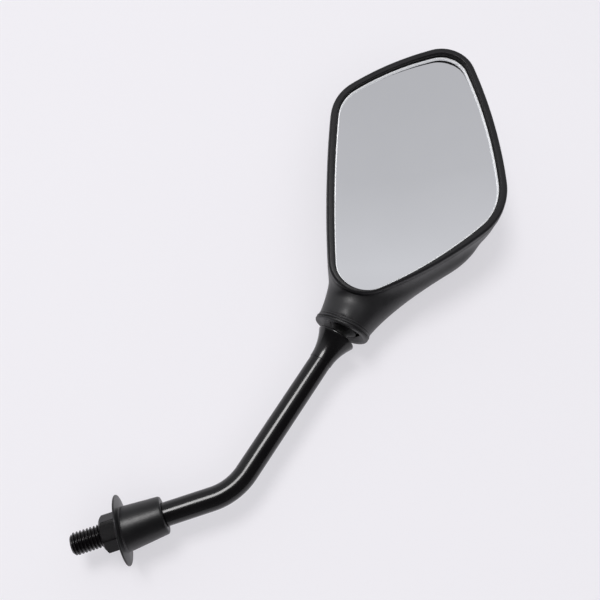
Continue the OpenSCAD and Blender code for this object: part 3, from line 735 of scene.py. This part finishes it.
def gasket(lowest=2.6):
    """A strip whose front follows the glass, but falls back no further than the lowest depth."""
    top = lambda x, z: min(sag(x, z), lowest)
    outer, y, back = BEZEL_W + 0.03, FRONT_Y + GASKET_DEPTH, RIM_Y - 0.73
    rows = [loop(GLASS_CORNERS, outer, y, top), loop(GLASS_CORNERS, outer, back),
            loop(GLASS_CORNERS, GASKET_IN, back), loop(GLASS_CORNERS, GASKET_IN, y, top)]
    o = mesh_object("glass_gasket", *skin(rows, closed=True), place=HEAD)
    sharpen(o, 30)
    finish_piece(o, "head", [SEAL], ["edge_gasket"])


def glass():
    """Silvered face seen through the glass, inside the ground glass edge, whose brightness is partly a
    painted glow.
    """
    front = FRONT_Y + PANE_DEPTH
    back, face = front + PANE_T, front + SILVER_DEPTH
    edge = [(0, back), (0, front + CHAMFER_H), (CHAMFER_W, front), (WALL_INSET - 0.02, front + 0.02),
            (WALL_INSET, face)]
    rows = [loop(GLASS_CORNERS, PANE_INSET + inset, y, sag) for inset, y in edge]
    inner = outline(GLASS_CORNERS, PANE_INSET + WALL_INSET)
    for k in range(1, PANE_STEPS):
        s = 1 - k / PANE_STEPS
        points = [(GLASS_X0 + (x - GLASS_X0) * s, GLASS_Z0 + (z - GLASS_Z0) * s) for x, z in inner]
        rows.append([(x, face + sag(x, z), z) for x, z in points])
    verts, faces = skin(rows, caps=False)
    n = len(inner)
    last = (len(rows) - 1) * n
    face_centre, back_centre = len(verts), len(verts) + 1
    verts += [(GLASS_X0, face, GLASS_Z0), (GLASS_X0, back, GLASS_Z0)]
    faces += [(last + i, last + (i + 1) % n, face_centre) for i in range(n)]
    faces += [((i + 1) % n, i, back_centre) for i in range(n)]
    o = mesh_object("mirror_pane", verts, faces, place=HEAD)
    # Material 0 is the silvered face; material 1 is the ground edge with its painted glow
    finish_piece(o, "head", [SILVER, GROUND_GLOW], ["mirror_glass"])
    inv = HEAD.inverted()
    for p in o.data.polygons:
        normal = inv.to_3x3() @ p.normal
        centre = inv @ (p.center / MM)
        silvered = normal.y < -0.9 and centre.y > front + SILVER_DEPTH * 0.8
        p.material_index = 0 if silvered else 1
    sharpen(o, 30)


# Materials of the solids that stay

def dress(node, mat):
    o = NODES[node]
    if not o.material_slots:
        o.data.materials.append(mat)
    for s in o.material_slots:
        s.material = mat


stem()
nut()
boot()
bell()
housing()
seal()
bezel()
gasket()
glass()
for node, mat in {"ball_stud": STEEL, "ball_seat_lower": NYLON, "ball_seat_upper": NYLON,
                  "disc_spring_1": SPRING, "disc_spring_2": SPRING, "disc_spring_3": SPRING,
                  "pressure_plate": STEEL, "clamp_screws": ZINC, "foam_pad": FOAM,
                  "glass_carrier": CARRIER, "carrier_screws": ZINC}.items():
    dress(node, mat)


# Camera: a pinhole view from below the head, its focal length in pixels of a square picture

FOCAL, PICTURE, SENSOR = 780, 600, 36.0
CAM_AT = Vector((48.792, -351.699, 73.745)) * MM
RIGHT = Vector((0.3096, 0.0, 0.9509)).normalized()
FORWARD = Vector((-0.3345, 0.9360, 0.1089)).normalized()
RIGHT = (RIGHT - FORWARD * RIGHT.dot(FORWARD)).normalized()
UP = RIGHT.cross(FORWARD)
TO_WORLD = Matrix((RIGHT, UP, -FORWARD)).transposed().to_4x4()


def view():
    data = bpy.data.cameras.new("camera")
    data.sensor_width, data.lens = SENSOR, SENSOR * FOCAL / PICTURE
    data.clip_start, data.clip_end = 0.02, 20
    camera = bpy.data.objects.new("camera", data)
    camera.matrix_world = Matrix.Translation(CAM_AT) @ TO_WORLD
    bpy.context.scene.collection.objects.link(camera)
    bpy.context.scene.camera = camera


# Table, lamps and world

TABLE_TILT, TABLE_Y, TABLE_Z = 0.0145, 16.7, 8
TABLE_HALF = 3.0
BACKDROP, BACKDROP_SHARE = (0.885, 0.872, 0.915, 1.0), 0.6
MIDDLE = Vector((-70, 0, 125)) * MM
# Brightness of the room by how far a direction points up in the picture, and what the far side adds to it
ROOM = [(-1.0, 0.2), (-0.3, 0.07), (0.3, 0.08), (0.53, 0.66), (0.6, 0.69), (0.75, 0.57), (0.9, 0.54),
        (1.0, 0.4)]
ROOM_TINT = (0.98, 0.99, 1.03)
FAR_FROM, FAR_FULL, FAR_EXTRA = 0.1, 0.6, 0.3


def table():
    """Pale table, partly self-lit where it is seen or mirrored, and clear from below."""
    s = TABLE_HALF
    y = lambda z: (TABLE_Y + TABLE_TILT * (z / MM - TABLE_Z)) * MM
    verts = [(-s, y(-s), -s), (s, y(-s), -s), (s, y(s), s), (-s, y(s), s)]
    me = bpy.data.meshes.new("table_top")
    me.from_pydata(verts, [], [(0, 1, 2, 3)])
    o = bpy.data.objects.new("table_top", me)
    bpy.context.scene.collection.objects.link(o)
    m = Nodes("table_white")
    m.tint(m.noise(3, 2), "Fac", (0.86, 0.845, 0.875), (0.88, 0.865, 0.895))
    m.set(Roughness=0.9)
    path = m.add("ShaderNodeLightPath")
    direct = m.add("ShaderNodeMath", operation="MAXIMUM")
    m.link(path, "Is Camera Ray", direct, 0)
    m.link(path, "Is Glossy Ray", direct, 1)
    share = m.add("ShaderNodeMath", operation="MULTIPLY")
    share.inputs[1].default_value = BACKDROP_SHARE
    m.link(direct, "Value", share, 0)
    glow = m.add("ShaderNodeEmission", Color=BACKDROP, Strength=1.0)
    top = m.add("ShaderNodeMixShader")
    m.link(share, "Value", top, "Fac")
    m.link(m.bsdf, "BSDF", top, 1)
    m.link(glow, "Emission", top, 2)
    look = m.add("ShaderNodeMixShader")
    m.link(m.add("ShaderNodeNewGeometry"), "Backfacing", look, "Fac")
    m.link(top, "Shader", look, 1)
    m.link(m.add("ShaderNodeBsdfTransparent"), "BSDF", look, 2)
    m.link(look, "Shader", m.out, "Surface")
    o.data.materials.append(m.mat)
    o.visible_shadow = False


def lamp(name, right, up, toward, size, power, colour):
    """A round area lamp placed in picture directions from the object's middle, in metres."""
    data = bpy.data.lights.new(name, "AREA")
    data.energy, data.color = power, colour
    data.shape, data.size = "DISK", size
    o = bpy.data.objects.new(name, data)
    o.location = MIDDLE + RIGHT * right + UP * up - FORWARD * toward
    o.rotation_mode = "QUATERNION"
    o.rotation_quaternion = (MIDDLE - o.location).to_track_quat("-Z", "Y")
    bpy.context.scene.collection.objects.link(o)
    return o


def world():
    """Dim room with a bright ceiling where the mirror looks; the camera sees a pale backdrop instead."""
    w = bpy.data.worlds.new("studio")
    bpy.context.scene.world = w
    w.use_nodes = True
    g = Graph(w.node_tree)
    coords = g.add("ShaderNodeTexCoord")
    height = g.ramp(g.along(coords, UP), "Value", -1.0, 1.0, 0.0, 1.0)
    room = g.add("ShaderNodeValToRGB")
    e = room.color_ramp.elements
    while len(e) < len(ROOM):
        e.new(0.5)
    for k, (u, v) in enumerate(ROOM):
        e[k].position = (u + 1) / 2
        e[k].color = (*(v * c for c in ROOM_TINT), 1)
    g.link(height, "Result", room, "Fac")
    behind = g.ramp(g.along(coords, FORWARD), "Value", FAR_FROM, FAR_FULL, 0.0, FAR_EXTRA)
    total = g.add("ShaderNodeVectorMath", operation="ADD")
    g.link(room, "Color", total, 0)
    g.link(behind, "Result", total, 1)
    light = g.add("ShaderNodeBackground", Strength=1.0)
    g.link(total, "Vector", light, "Color")
    seen = g.add("ShaderNodeMixShader")
    g.link(g.add("ShaderNodeLightPath"), "Is Camera Ray", seen, "Fac")
    g.link(light, "Background", seen, 1)
    g.link(g.add("ShaderNodeBackground", Color=BACKDROP), "Background", seen, 2)
    g.link(seen, "Shader", g.add("ShaderNodeOutputWorld"), "Surface")


view()
table()
lamp("key", -0.3, 0.84, 1.15, 0.55, 11.0, (1.0, 0.985, 0.99))
fill = lamp("fill", 0.7, -0.5, 3.0, 3.0, 29, (1.0, 0.985, 1.0))
fill.visible_glossy = False
world()
bpy.context.scene.view_settings.view_transform = "Standard"
